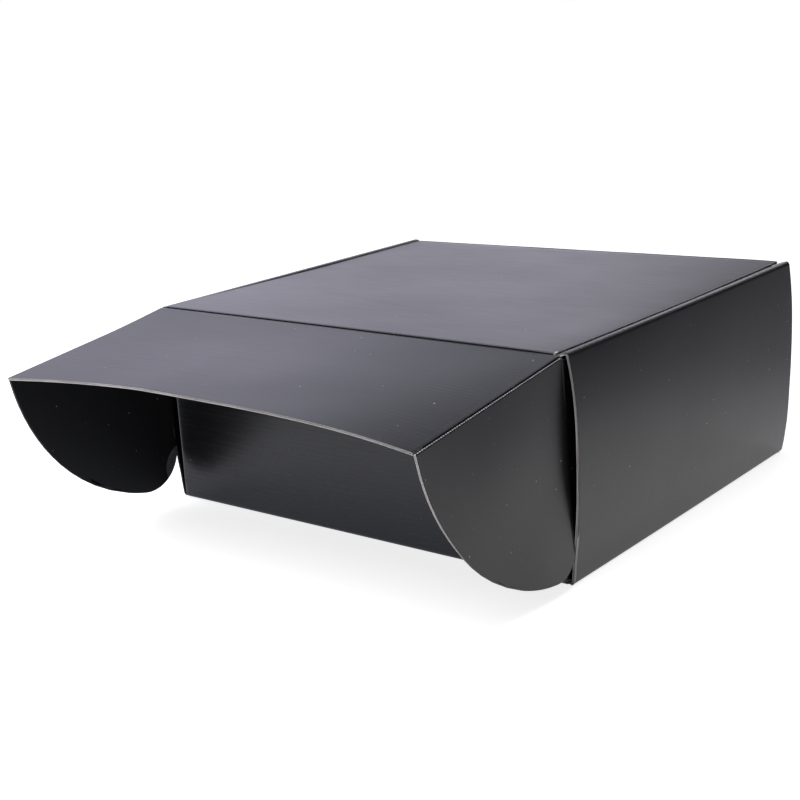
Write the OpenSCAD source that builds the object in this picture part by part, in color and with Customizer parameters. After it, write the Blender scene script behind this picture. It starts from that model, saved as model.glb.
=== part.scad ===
// Corrugated mailer box with rolled side walls and a tuck-in front flap.
// The box is folded from one sheet of board. The sheet is parted only at the
// creases that move in use: lid, front flap and the two ears of the flap.
// Origin: centre of the base's underside. +Z up, front of the box towards -Y.

/* [Board] */
// Thickness of the fluted board
board_t = 1.5; // [1.2:0.1:1.8]
// Inner radius of a folded edge
fold_in = 0.7; // [0.4:0.1:1]
// Free room between layers that lie or slide side by side
layer_gap = 0.1; // [0.05:0.05:0.2]
// Free room between a flap and the panel that it is creased to
crease_gap = 0.15; // [0.1:0.05:0.3]
// Free room between the end of a panel and what it meets
edge_gap = 0.3; // [0.2:0.1:0.6]

/* [Tray] */
// Width over the outer side walls, at their top and foot
tray_w = 300; // [220:5:360]
// Depth from the front ends to the rear ends of the side walls
tray_d = 254; // [220:2:320]
// Height to the top of the rolled side walls
side_h = 126; // [100:1:140]
// How far the outer side walls bow outwards at mid height
side_bow = 4.5; // [1:0.5:8]
// Free length between the ends of the front and rear dust flaps
dust_apart = 50; // [20:5:80]
// Corner cut at the free end of a dust flap
dust_cut = 14; // [5:1:25]
// Height of the dust flaps' lower edge over the base panel
dust_lift = 1; // [0.5:0.5:3]

/* [Lock tabs] */
// Length of one lock tab of an inner side wall
tab_l = 38; // [25:1:50]
// Distance from an inner side wall's end to the nearer tab
tab_inset = 42; // [25:1:50]
// Free room around a tab in its slot
slot_gap = 0.5; // [0.3:0.1:0.8]

/* [Lid] */
// How far the lid's top lies below the rolled side walls' top
lid_drop = 2; // [1:0.5:4]
// Free room between the lid and the inner side walls
lid_gap = 0.3; // [0.2:0.1:1]
// Corner cut at the ends of the lid's rear crease
lid_cut = 4; // [2:0.5:8]

/* [Front flap] */
// Free room between the closed flap and the front wall
flap_gap = 1.65; // [0.5:0.05:3]
// Height of the closed flap's lower edge over the ground
flap_foot = 3.25; // [2:0.25:8]
// How far the raised flap hangs below the lid's plane, in degrees
flap_droop = 8; // [0:1:30]
// Rise of the flap's arched front edge
arch_h = 8.5; // [2:0.5:12]
// Place of the arch's highest point, to the right of the middle
arch_x = -25; // [-40:5:40]
// Roundness of the arch towards the left, and towards the right
arch_left = 1.5; // [1.5:0.1:3]
arch_right = 2.4; // [1.5:0.1:3]

/* [Ears] */
// Height of the closed ears' lower edge over the base panel
ear_foot = 3.75; // [2:0.25:8]
// Distance of an ear's rear edge from the lid's crease
ear_back = 1.2; // [0.8:0.1:4]
// Radius of an ear's corner below the crease
ear_corner_r = 18; // [8:1:30]

/* [Hidden] */

// Outer radius of a folded edge
fold_out = fold_in + board_t;
half_w = tray_w / 2;
half_d = tray_d / 2;

// Layers of a side wall, from outside: wall, ear slot, dust flap, inner wall
ear_x = half_w - 1.5 * board_t - layer_gap;
dust_x = half_w - 2 * board_t - 2 * layer_gap;
inner_x = half_w - 4 * board_t - 3 * layer_gap;

// The lid's two creases run along X at the middle of its board
lid_top = side_h - lid_drop;
crease_z = lid_top - board_t / 2;
crease_y = -half_d - flap_gap - board_t / 2;
rear_crease_y = half_d - board_t / 2;
crease_cut = board_t / 2 + crease_gap;
lid_half_w = inner_x - lid_gap;

front_wall_h = lid_top - board_t - edge_gap;
rear_wall_h = crease_z - crease_cut;
// Where the front and rear walls turn into their dust flaps
corner_x = dust_x - fold_out;
dust_l = (tray_d - dust_apart) / 2;

inner_half_d = half_d - board_t - edge_gap;
inner_foot = board_t + edge_gap;
tab_y = inner_half_d - tab_inset - tab_l / 2;

// Length by which neighbouring panels of the tray run into each other
lap = board_t / 2;

flap_l = crease_z - flap_foot;
flap_half_w = ear_x - crease_cut;
ear_r = crease_z - board_t - ear_foot;

// Steps of the arched flap across its width and along its length
arch_nx = 32;
arch_nu = 6;
// Sides of the small circles of a fold and of the large ones of an ear
fold_fn = 48;
ear_fn = 360;

// Arc of the bowed wall between its two folds
bow_chord = side_h - 2 * fold_out;
bow_r = bow_chord * bow_chord / (8 * side_bow) + side_bow / 2;
bow_fn = 720;

// One quarter of a folded edge, round the origin, between +X and +Y
module fold_quarter() {
    intersection() {
        difference() {
            circle(r = fold_out, $fn = fold_fn);
            circle(r = fold_in, $fn = fold_fn);
        }
        square(fold_out);
    }
}

// Full disc whose right side bows out past x
module bow_disc(x) {
    translate([x + side_bow - bow_r, side_h / 2]) circle(r = bow_r, $fn = bow_fn);
}

// Outer side wall seen from the front: a strip between two equal arcs
module bowed_wall_section() {
    intersection() {
        difference() {
            bow_disc(half_w);
            bow_disc(half_w - board_t);
        }
        translate([half_w - 2 * board_t, fold_out]) square([2 * board_t + 2 * side_bow, bow_chord]);
    }
}

// Right side seen from the front: edge of the base, bottom fold, bowed wall,
// rolled top and the beginning of the inner wall
module side_section() {
    fold_x = half_w - fold_out;
    roll_x = inner_x + fold_out;
    top_fold_z = side_h - fold_out;
    translate([fold_x - lap, 0]) square([lap, board_t]);
    translate([fold_x, fold_out]) rotate(-90) fold_quarter();
    bowed_wall_section();
    translate([fold_x, top_fold_z]) fold_quarter();
    translate([roll_x, side_h - board_t]) square([fold_x - roll_x, board_t]);
    translate([roll_x, top_fold_z]) rotate(90) fold_quarter();
    translate([inner_x, top_fold_z - lap]) square([board_t, lap]);
}

// A right-hand piece and its mirror image on the left
module both_sides() {
    children();
    mirror([1, 0, 0]) children();
}

// Extrudes a section, drawn as seen from the front, over a depth of d
module along_depth(d) {
    rotate([90, 0, 0]) linear_extrude(d, center = true) children();
}

// Inner side wall with its two lock tabs, on the right
module inner_wall() {
    top = side_h - fold_out;
    translate([inner_x, -inner_half_d, inner_foot]) cube([board_t, 2 * inner_half_d, top - inner_foot]);
    for (y = [-tab_y, tab_y])
        translate([inner_x, y - tab_l / 2, edge_gap]) cube([board_t, tab_l, inner_foot + lap - edge_gap]);
}

// Room for the lock tabs through the base, on the right
module tab_slots() {
    for (y = [-tab_y, tab_y])
        translate([inner_x - slot_gap, y - tab_l / 2 - slot_gap, -board_t])
            cube([board_t + 2 * slot_gap, tab_l + 2 * slot_gap, 3 * board_t]);
}

// Front or rear wall of height h with its bottom fold, placed at the front
module cross_wall(h) {
    wall_y = -half_d + fold_out;
    translate([0, wall_y, fold_out]) rotate([0, 90, 0])
        linear_extrude(2 * corner_x, center = true) rotate(-90) fold_quarter();
    translate([-corner_x, -half_d, fold_out]) cube([2 * corner_x, board_t, h - fold_out]);
    translate([-corner_x, wall_y, 0]) cube([2 * corner_x, lap, board_t]);
}

// Dust flap of a front wall of height h, round the right-hand corner
module dust_flap(h) {
    foot = board_t + dust_lift;
    corner_y = -half_d + fold_out;
    end_y = -half_d + dust_l;
    translate([0, 0, foot]) linear_extrude(h - foot) {
        translate([corner_x, corner_y]) rotate(-90) fold_quarter();
        translate([corner_x - lap, -half_d]) square([lap, board_t]);
        translate([dust_x - board_t, corner_y]) square([board_t, lap]);
    }
    translate([dust_x - board_t, 0, 0]) rotate([90, 0, 90]) linear_extrude(board_t)
        polygon([[corner_y, foot], [end_y - dust_cut, foot], [end_y, foot + dust_cut],
                 [end_y, h - dust_cut], [end_y - dust_cut, h], [corner_y, h]]);
}

module base_panel() {
    x = half_w - fold_out;
    y = half_d - fold_out;
    difference() {
        translate([-x, -y, 0]) cube([2 * x, 2 * y, board_t]);
        both_sides() tab_slots();
    }
}

module tray() {
    color("#2b2b2e") {
        base_panel();
        both_sides() {
            along_depth(tray_d) side_section();
            inner_wall();
            dust_flap(front_wall_h);
            mirror([0, 1, 0]) dust_flap(rear_wall_h);
        }
        cross_wall(front_wall_h);
        mirror([0, 1, 0]) cross_wall(rear_wall_h);
    }
}

// Rounded edge of a flap on its crease, from x0 to x1 along X
module crease_edge(x0, x1) {
    translate([x0, 0, 0]) rotate([0, 90, 0]) cylinder(h = x1 - x0, r = board_t / 2, $fn = fold_fn);
}

module lid() {
    front_y = crease_y + crease_cut;
    rear_half_w = lid_half_w - lid_cut;
    color("#4a4a50") {
        translate([0, 0, crease_z - board_t / 2]) linear_extrude(board_t)
            polygon([[-lid_half_w, front_y], [lid_half_w, front_y],
                     [lid_half_w, rear_crease_y - lid_cut], [rear_half_w, rear_crease_y],
                     [-rear_half_w, rear_crease_y], [-lid_half_w, rear_crease_y - lid_cut]]);
        translate([0, rear_crease_y, crease_z]) crease_edge(-rear_half_w, rear_half_w);
    }
}

// Puts a piece that is drawn flat in front of the crease into the raised flap's place
module at_front_crease() {
    translate([0, crease_y, crease_z]) rotate([flap_droop, 0, 0]) children();
}

// Rise of the arched front edge at x, 0 at both of the flap's sides
function arch(x) = let (
    right = x > arch_x,
    reach = (right ? flap_half_w : -flap_half_w) - arch_x,
    s = (x - arch_x) / reach
) arch_h * (1 - pow(s, right ? arch_right : arch_left));

// Points of the flap's lower side (side = -1) or upper side (side = 1)
function flap_face(side) = [
    for (j = [0 : arch_nu]) for (i = [0 : arch_nx])
        let (x = -flap_half_w + 2 * flap_half_w * i / arch_nx, s = j / arch_nu)
            [x, -flap_l * s, arch(x) * s + side * board_t / 2]
];

module front_flap() {
    row = arch_nx + 1;
    top = row * (arch_nu + 1);
    cells = [for (j = [0 : arch_nu - 1]) for (i = [0 : arch_nx - 1]) j * row + i];
    sides = [for (j = [0 : arch_nu - 1]) j * row];
    last = arch_nu * row;
    faces = concat(
        [for (k = cells) for (f = [[k, k + row, k + 1], [k + 1, k + row, k + row + 1]]) f],
        [for (k = cells) for (f = [[k, k + 1, k + row], [k + 1, k + row + 1, k + row]]) [for (p = f) p + top]],
        [for (k = sides) [k, k + top, k + row + top, k + row]],
        [for (k = sides) [k + arch_nx, k + row + arch_nx, k + row + arch_nx + top, k + arch_nx + top]],
        [for (i = [0 : arch_nx - 1]) [i, i + 1, i + 1 + top, i + top]],
        [for (i = [0 : arch_nx - 1]) [last + i + 1, last + i, last + i + top, last + i + 1 + top]]
    );
    color("#3c3c41") at_front_crease() {
        polyhedron(points = concat(flap_face(-1), flap_face(1)), faces = faces, convexity = 4);
        crease_edge(-flap_half_w, flap_half_w);
    }
}

// Outline of an ear: a quarter disc round the crease's end with one rounded corner.
// +X runs along the flap away from the crease, +Y away from the flap.
module ear_outline() {
    u = ear_back + ear_corner_r;
    corner_c = [u, sqrt(pow(ear_r - ear_corner_r, 2) - u * u)];
    outward = corner_c * (2 * ear_r / norm(corner_c));
    difference() {
        intersection() {
            circle(r = ear_r, $fn = ear_fn);
            translate([ear_back, 0]) square(ear_r);
        }
        polygon([[0, corner_c[1]], corner_c, outward, [0, outward[1]]]);
    }
    translate(corner_c) circle(r = ear_corner_r, $fn = ear_fn);
}

// Ear that hangs from the flap's side, its board centred on x = 0
module ear() {
    rotate([-90, 0, -90]) linear_extrude(board_t, center = true) ear_outline();
    rotate([90, 0, 0]) translate([0, 0, ear_back])
        cylinder(h = ear_r - ear_back, r = board_t / 2, $fn = fold_fn);
}

module ear_left() {
    color("#1c1c1f") at_front_crease() translate([-ear_x, 0, 0]) ear();
}

module ear_right() {
    color("#303034") at_front_crease() translate([ear_x, 0, 0]) ear();
}

tray();
lid();
front_flap();
ear_left();
ear_right();
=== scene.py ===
import math
import bmesh
import bpy
from mathutils import Euler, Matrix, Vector, noise
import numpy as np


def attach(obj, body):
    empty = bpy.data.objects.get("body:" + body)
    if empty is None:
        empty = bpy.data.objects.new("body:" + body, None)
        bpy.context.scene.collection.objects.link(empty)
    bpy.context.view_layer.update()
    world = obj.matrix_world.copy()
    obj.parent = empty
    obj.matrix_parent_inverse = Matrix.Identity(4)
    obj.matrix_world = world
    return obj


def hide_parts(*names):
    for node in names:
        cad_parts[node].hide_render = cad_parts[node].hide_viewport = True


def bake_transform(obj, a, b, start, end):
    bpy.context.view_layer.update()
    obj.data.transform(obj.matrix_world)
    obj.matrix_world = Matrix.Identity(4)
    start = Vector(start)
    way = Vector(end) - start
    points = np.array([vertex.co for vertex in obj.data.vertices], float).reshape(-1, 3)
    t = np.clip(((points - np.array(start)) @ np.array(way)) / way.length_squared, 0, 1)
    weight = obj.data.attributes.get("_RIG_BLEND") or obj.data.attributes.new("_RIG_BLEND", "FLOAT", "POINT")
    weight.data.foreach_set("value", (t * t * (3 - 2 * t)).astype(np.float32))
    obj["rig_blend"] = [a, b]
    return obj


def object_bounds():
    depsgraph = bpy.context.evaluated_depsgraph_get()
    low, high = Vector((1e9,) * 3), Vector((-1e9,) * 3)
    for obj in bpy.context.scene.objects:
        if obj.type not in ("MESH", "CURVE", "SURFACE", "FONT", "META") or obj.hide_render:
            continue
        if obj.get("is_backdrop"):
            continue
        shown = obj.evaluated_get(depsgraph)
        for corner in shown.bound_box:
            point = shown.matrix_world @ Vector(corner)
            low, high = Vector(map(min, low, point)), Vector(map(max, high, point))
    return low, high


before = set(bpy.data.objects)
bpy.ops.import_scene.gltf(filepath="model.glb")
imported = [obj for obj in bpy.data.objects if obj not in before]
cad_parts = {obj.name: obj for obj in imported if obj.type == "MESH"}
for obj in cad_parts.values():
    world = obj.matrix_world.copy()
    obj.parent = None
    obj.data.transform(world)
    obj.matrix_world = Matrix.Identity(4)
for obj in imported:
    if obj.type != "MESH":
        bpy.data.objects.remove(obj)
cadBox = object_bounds()
scene = bpy.context.scene
mm = 0.001

# camera at the photograph's angle

cameraSetup = {
    "place": (0.5288, -0.7090, 0.2988),
    "turn": (74.428, 3.835, 38.997),  # degrees
    "focal": 1.78908,  # in widths of the picture
    "film": 36,
}


def addObject(name, data):
    made = bpy.data.objects.new(name, data)
    scene.collection.objects.link(made)
    return made


def addCamera(setup):
    camera = bpy.data.cameras.new("photoCamera")
    camera.sensor_width = setup["film"]
    camera.lens = setup["focal"] * setup["film"]
    camera.clip_end = 200
    holder = addObject("photoCamera", camera)
    holder.rotation_euler = Euler([math.radians(a) for a in setup["turn"]])
    holder.location = setup["place"]
    scene.camera = holder


addCamera(cameraSetup)


# node helpers

class Wire:
    # output of a shader node that can be added, multiplied and so on
    def __init__(self, tree, socket):
        self.tree = tree
        self.socket = socket

    def math(self, operation, *values):
        return addNode(self.tree, "ShaderNodeMath", {"operation": operation}, values)

    def __add__(self, other):
        return self.math("ADD", self, other)

    def __radd__(self, other):
        return self.math("ADD", other, self)

    def __sub__(self, other):
        return self.math("SUBTRACT", self, other)

    def __rsub__(self, other):
        return self.math("SUBTRACT", other, self)

    def __mul__(self, other):
        return self.math("MULTIPLY", self, other)

    def __truediv__(self, other):
        return self.math("DIVIDE", self, other)

    def wave(self, length):
        return self.math("SINE", self / length * (2 * math.pi))

    def size(self):
        return self.math("ABSOLUTE", self)

    def ramp(self, low, high):
        # 0 below low, 1 above high, soft between
        settings = {"interpolation_type": "SMOOTHSTEP"}
        return addNode(self.tree, "ShaderNodeMapRange", settings, [self, low, high, 0.0, 1.0])


def addNode(tree, kind, settings=None, values=(), output=0):
    node = tree.nodes.new(kind)
    for name, value in (settings or {}).items():
        setattr(node, name, value)
    pairs = values.items() if isinstance(values, dict) else enumerate(values)
    for key, value in pairs:
        if isinstance(value, Wire):
            tree.links.new(value.socket, node.inputs[key])
        else:
            node.inputs[key].default_value = value
    return Wire(tree, node.outputs[output]) if node.outputs else None


def mixColour(tree, amount, first, second):
    values = {0: amount, 6: first, 7: second}
    return addNode(tree, "ShaderNodeMix", {"data_type": "RGBA"}, values, 2)


def clearTree(owner):
    owner.use_nodes = True
    owner.node_tree.nodes.clear()
    return owner.node_tree


def newMaterial(name):
    material = bpy.data.materials.new(name)
    return material, clearTree(material)


def finishMaterial(tree, colour, roughness, height, gloss, strength=1.0):
    values = {"Height": height, "Distance": mm, "Strength": strength}
    normal = addNode(tree, "ShaderNodeBump", None, values)
    values = {"Base Color": colour, "Roughness": roughness, "Normal": normal, "IOR": gloss}
    shader = addNode(tree, "ShaderNodeBsdfPrincipled", None, values)
    addNode(tree, "ShaderNodeOutputMaterial", None, {"Surface": shader})


def painted(tree, name):
    # a value kept at the points or faces of the board
    return addNode(tree, "ShaderNodeAttribute", {"attribute_name": name}, (), "Fac")


def rayKind(tree, name):
    return addNode(tree, "ShaderNodeLightPath", None, (), "Is " + name + " Ray")


def vectorMath(tree, operation, values, output="Value"):
    return addNode(tree, "ShaderNodeVectorMath", {"operation": operation}, values, output)


def cloud(tree, where, scale, detail):
    values = {"Vector": where, "Scale": scale, "Detail": detail}
    return addNode(tree, "ShaderNodeTexNoise", None, values, "Fac")


def streaky(tree, flat, scale, detail):
    # a cloud stretched by a different amount each way
    return cloud(tree, vectorMath(tree, "MULTIPLY", [flat, scale], "Vector"), 1.0, detail)


# finishes of the board

printLook = {
    "ink": (0.0130, 0.0130, 0.0150, 1),
    "inkThin": (0.036, 0.036, 0.042, 1),  # over the ridges of the flutes
    "inkWorn": (0.060, 0.058, 0.058, 1),
    # pale cracked ink on creases, also a painted highlight along the fold
    "crackedInkAndHighlight": (0.50, 0.49, 0.49, 1),
    "paleCrescent": (0.20, 0.20, 0.203, 1),
    "dust": (0.55, 0.53, 0.50, 1),
    "bare": (0.60, 0.57, 0.55, 1),  # pale paper where the skin is worn off, and along the lower right raw edge
    "flutePitch": 0.0033,
    "dotPitch": 0.00176,  # bumps where a crease crosses the flutes
    "streakGrain": (26.0, 340.0, 1.0),  # per metre across and along the flutes
    "blotchGrain": (9.0, 14.0, 1.0),
    "fibreGrain": (900.0, 1800.0, 1.0),
    "washboard": 0.0022,  # mm
    "paleCrescentAt": (-0.2497, 0.0114, 0.0),  # paler crescent at the rear corner of the left ear's inner face
    "paleCrescentSize": 0.0144,
    "fibre": 0.0095,  # mm
    "streak": 0.014,  # mm
    "dots": 0.10,  # mm
}


def dustOn(tree, flat, scale, size, rare):
    # a few round specks, each of its own brightness
    plain = {"voronoi_dimensions": "2D"}
    specks = {"Vector": flat, "Scale": scale}
    distance = addNode(tree, "ShaderNodeTexVoronoi", plain, specks, "Distance")
    colour = addNode(tree, "ShaderNodeTexVoronoi", plain, specks, "Color")
    pick = addNode(tree, "ShaderNodeSeparateColor", None, [colour], 0)
    bright = addNode(tree, "ShaderNodeSeparateColor", None, [colour], 1)
    speck = (1 - distance.ramp(size * 0.6, size)) * pick.ramp(rare, rare + 0.02)
    return speck * (0.25 + bright * 0.75)


def makePrint(name, rough, washboard, inkGain=1.0, gloss=1.5, grain=1.0, withPaleCrescent=False):
    # crease is 0 to 1 where the ink is cracked and a painted dotted highlight lies on the fold, and higher
    # where bare paper shows
    look = printLook
    material, tree = newMaterial(name)
    flat = addNode(tree, "ShaderNodeUVMap", {"uv_map": "blank"})
    across = addNode(tree, "ShaderNodeSeparateXYZ", None, [flat], 1)
    crease = painted(tree, "crease")
    rim = painted(tree, "rim")
    bend = painted(tree, "bend")
    streaks = streaky(tree, flat, look["streakGrain"], 3.0)
    blotches = streaky(tree, flat, look["blotchGrain"], 2.0)
    fibres = streaky(tree, flat, look["fibreGrain"], 2.0)
    dust = dustOn(tree, flat, 80.0, 0.040, 0.90) + dustOn(tree, flat, 150.0, 0.045, 0.86) * 0.35
    dots = across.wave(look["dotPitch"])
    worn = rim * cloud(tree, flat, 420.0, 3.0).ramp(0.48, 0.66)
    ink = tuple(c * inkGain for c in look["ink"][:3]) + (1,)
    ridge = across.wave(look["flutePitch"]).ramp(-0.3, 1.0) * streaks.ramp(0.36, 0.62)
    colour = mixColour(tree, ridge * bend.ramp(1.2, 3.0) * 0.6, ink, look["inkThin"])
    colour = mixColour(tree, worn, colour, look["inkWorn"])
    # cracked ink and a painted dotted highlight along the crease
    crackedAndHighlight = (0.10 + dots.ramp(-0.3, 0.6) * 0.90) * crease.ramp(0.75, 0.98)
    colour = mixColour(tree, crackedAndHighlight, colour, look["crackedInkAndHighlight"])
    # a paler crescent on the inner face of the left ear's rear corner
    if withPaleCrescent:
        corner = vectorMath(tree, "DISTANCE", [flat, Vector(look["paleCrescentAt"])])
        paleCrescentMask = 1 - corner.ramp(look["paleCrescentSize"] - 0.0006, look["paleCrescentSize"])
        paleCrescentMask = paleCrescentMask * (0.6 + blotches * 0.6)
        colour = mixColour(tree, paleCrescentMask, colour, look["paleCrescent"])
    bare = crease.ramp(1.2, 1.9) * cloud(tree, flat, 300.0, 2.0).ramp(0.08, 0.32)
    colour = mixColour(tree, bare, colour, look["bare"])
    colour = mixColour(tree, dust, colour, look["dust"])
    wave = across.wave(look["flutePitch"]) * washboard * (blotches.ramp(0.25, 0.75) * 1.4 + 0.3)
    height = (wave + streaks * look["streak"]) * bend
    height = height + fibres * (look["fibre"] * grain)
    height = height + dots * crease * look["dots"]
    roughness = rough + (blotches - 0.5) * 0.06 + (streaks - 0.5) * 0.08 + dust * 0.4
    finishMaterial(tree, colour, roughness, height, gloss)
    return material


paperGloss = 1.4
edgeLook = {
    "liner": (0.88, 0.85, 0.845, 1),
    "medium": (0.72, 0.68, 0.65, 1),
    # painted shade in the open flute channels between the liners
    "hollowShade": (0.20, 0.16, 0.135, 1),
    "fibre": (0.34, 0.29, 0.25, 1),
    "shaded": (0.30, 0.25, 0.21, 1),
    # painted shade for raw edges that lie in shade
    "paintedEdgeShade": (0.020, 0.019, 0.019, 1),
}


def makeCutEdge(name):
    look = edgeLook
    material, tree = newMaterial(name)
    place = addNode(tree, "ShaderNodeUVMap", {"uv_map": "edge"})
    along = addNode(tree, "ShaderNodeSeparateXYZ", None, [place], 0)
    across = addNode(tree, "ShaderNodeSeparateXYZ", None, [place], 1)
    opened = painted(tree, "open")
    slow = (streaky(tree, place, (60.0, 0.0, 1.0), 2.0) - 0.5) * 1.6
    medium = (1 - (across - slow).size().ramp(0.10, 0.24)) * (1 - opened)
    crushed = streaky(tree, place, (30.0, 0.4, 1.0), 3.0).ramp(0.34, 0.60)
    filled = medium + (1 - medium) * crushed * (0.85 - opened * 0.5)
    liner = across.size().ramp(0.50, 0.62)
    fibre = streaky(tree, place, (2600.0, 2.0, 1.0), 3.0)
    # open channels of the edge get the painted shade colour
    colour = mixColour(tree, filled, look["hollowShade"], look["medium"])
    colour = mixColour(tree, liner, colour, look["liner"])
    colour = mixColour(tree, fibre.ramp(0.3, 0.9) * 0.22, colour, look["fibre"])
    # painted shade darkens raw edges that lie in shade
    paintedEdgeShade = painted(tree, "paintedEdgeShade")
    colour = mixColour(tree, paintedEdgeShade * (0.80 + fibre * 0.2), colour, look["paintedEdgeShade"])
    height = fibre * 0.05 + filled * 0.10
    finishMaterial(tree, colour, 0.75 + fibre * 0.15, height, paperGloss, 0.8)
    return material


def makeFlutePaper(name):
    material, tree = newMaterial(name)
    place = addNode(tree, "ShaderNodeTexCoord", None, (), "Object")
    fibre = cloud(tree, place, 1800.0, 3.0)
    colour = mixColour(tree, fibre.ramp(0.3, 0.7), edgeLook["shaded"], edgeLook["medium"])
    finishMaterial(tree, colour, 0.8 + fibre * 0.1, fibre * 0.03, paperGloss)
    return material


satinPrint = makePrint("satinBlackPrint", 0.33, printLook["washboard"])
innerPrint = makePrint("innerBlackPrint", 0.50, 0.006, 0.55, 1.36, 0.4, True)
cutEdge = makeCutEdge("cutBoardEdge")
flutePaper = makeFlutePaper("flutePaper")
boardMaterials = [satinPrint, innerPrint, cutEdge, flutePaper]
print("materials made")

# board: two skins round a middle surface, with shaped edges (all in mm)

board = {
    "thick": 1.5,
    "foldIn": 0.7,
    "foldSteps": 8,
    "step": 9.0,  # about the size of a face on a flat panel
    "warpSize": 0.22,  # how far a panel waves out of flat
    "warpScale": 0.016,  # per mm
    "shortRun": 5.0,  # cut edges shorter than this have no flutes
    "ribbonIn": 0.04,  # how deep the flutes lie in the edge
    "clearance": 0.01,  # kept from the solids' outer box
}
half = board["thick"] / 2
foldMid = board["foldIn"] + half
foldOut = board["foldIn"] + board["thick"]  # from the middle of a fold to its outside

# distance inwards from the edge, height over the middle, for a die-cut edge
cutProfile = [
    (1.2, 0.75), (0.40, 0.75), (0.12, 0.725), (0.0, 0.64), (0.0, 0.50), (0.22, 0.40), (0.28, 0.0),
]
cutProfile += [(depth, -height) for depth, height in cutProfile[-2::-1]]


def roundProfile(power):
    # for an edge that is one side of a crease: half round, printed all over
    profile = []
    for turn in (0, 8, 25, 42, 60, 75, 90, 105, 120, 138, 155, 172, 180):
        out = math.sin(math.radians(turn)) ** power
        up = abs(math.cos(math.radians(turn))) ** power
        profile.append((half * (1 - out), math.copysign(half * up, 90 - turn)))
    return profile


foldProfile = roundProfile(1.0)
tightProfile = roundProfile(0.5)  # pressed flat beside an ear
crackAndHighlightShare = [0, 0, 0, 0.8, 1, 1, 1, 1, 0, 0, 0, 0, 0]  # only the top of a bend is cracked and gets the painted dotted highlight


class Sheet:
    # middle surface; every point keeps its place on the flat blank and how creased it is
    def __init__(self):
        self.found = {}
        self.points = []
        self.flat = []
        self.crease = []
        self.faces = []

    def point(self, place, flat, crease=0.0):
        # places within 0.02 mm are one point; the small shift keeps round sizes off a limit
        key = tuple(round((c + 0.0037) * 50) for c in place)
        if key not in self.found:
            self.found[key] = len(self.points)
            self.points.append(Vector(place))
            self.flat.append(flat)
            self.crease.append(crease)
        return self.found[key]

    def grid(self, rows, keep=None):
        ids = [[self.point(*p) for p in row] for row in rows]
        for i in range(len(ids) - 1):
            for j in range(len(ids[i]) - 1):
                if keep and not keep(i, j):
                    continue
                self.faces.append((ids[i][j], ids[i][j + 1], ids[i + 1][j + 1], ids[i + 1][j]))


def spread(start, end, step):
    # evenly spaced numbers from start to end, about a step apart
    count = max(1, round(abs(end - start) / step))
    return [start + (end - start) * k / count for k in range(count + 1)]


def between(lines, step):
    # fills the gaps between fixed grid lines
    filled = [lines[0]]
    for a, b in zip(lines, lines[1:]):
        filled += spread(a, b, step)[1:]
    return filled


def arc(centre, radius, first, last, steps):
    turn = [math.radians(first + (last - first) * k / steps) for k in range(steps + 1)]
    return [(centre[0] + radius * math.cos(a), centre[1] + radius * math.sin(a)) for a in turn]


def clamp(s):
    return min(1.0, max(0.0, s))


def smooth(s):
    s = clamp(s)
    return s * s * (3 - 2 * s)


def hump(s):
    # 0 at both ends, 1 in the middle
    return math.sin(math.pi * clamp(s))


def mix(ends, s):
    return ends[0] + (ends[1] - ends[0]) * s


def wander(place, amount=None):
    # slow, small waves of a panel
    amount = board["warpSize"] if amount is None else amount
    return noise.noise(place * board["warpScale"]) * amount


def edgeLoops(bm):
    # free edges of the middle surface, walked round
    ring = {}
    for edge in bm.edges:
        if len(edge.link_faces) == 1:
            for vert in edge.verts:
                ring.setdefault(vert, []).append(edge)
    loops = []
    seen = set()
    for start in ring:
        if start in seen:
            continue
        loop = [start]
        seen.add(start)
        edge = ring[start][0]
        vert = edge.other_vert(start)
        while vert != start:
            loop.append(vert)
            seen.add(vert)
            a, b = ring[vert]
            edge = b if edge == a else a
            vert = edge.other_vert(vert)
        loops.append(loop)
    return loops


def inwards(edge):
    face = edge.link_faces[0]
    line = (edge.verts[1].co - edge.verts[0].co).normalized()
    back = face.calc_center_median() - (edge.verts[0].co + edge.verts[1].co) / 2
    back -= line * back.dot(line)
    return back.normalized()


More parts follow.
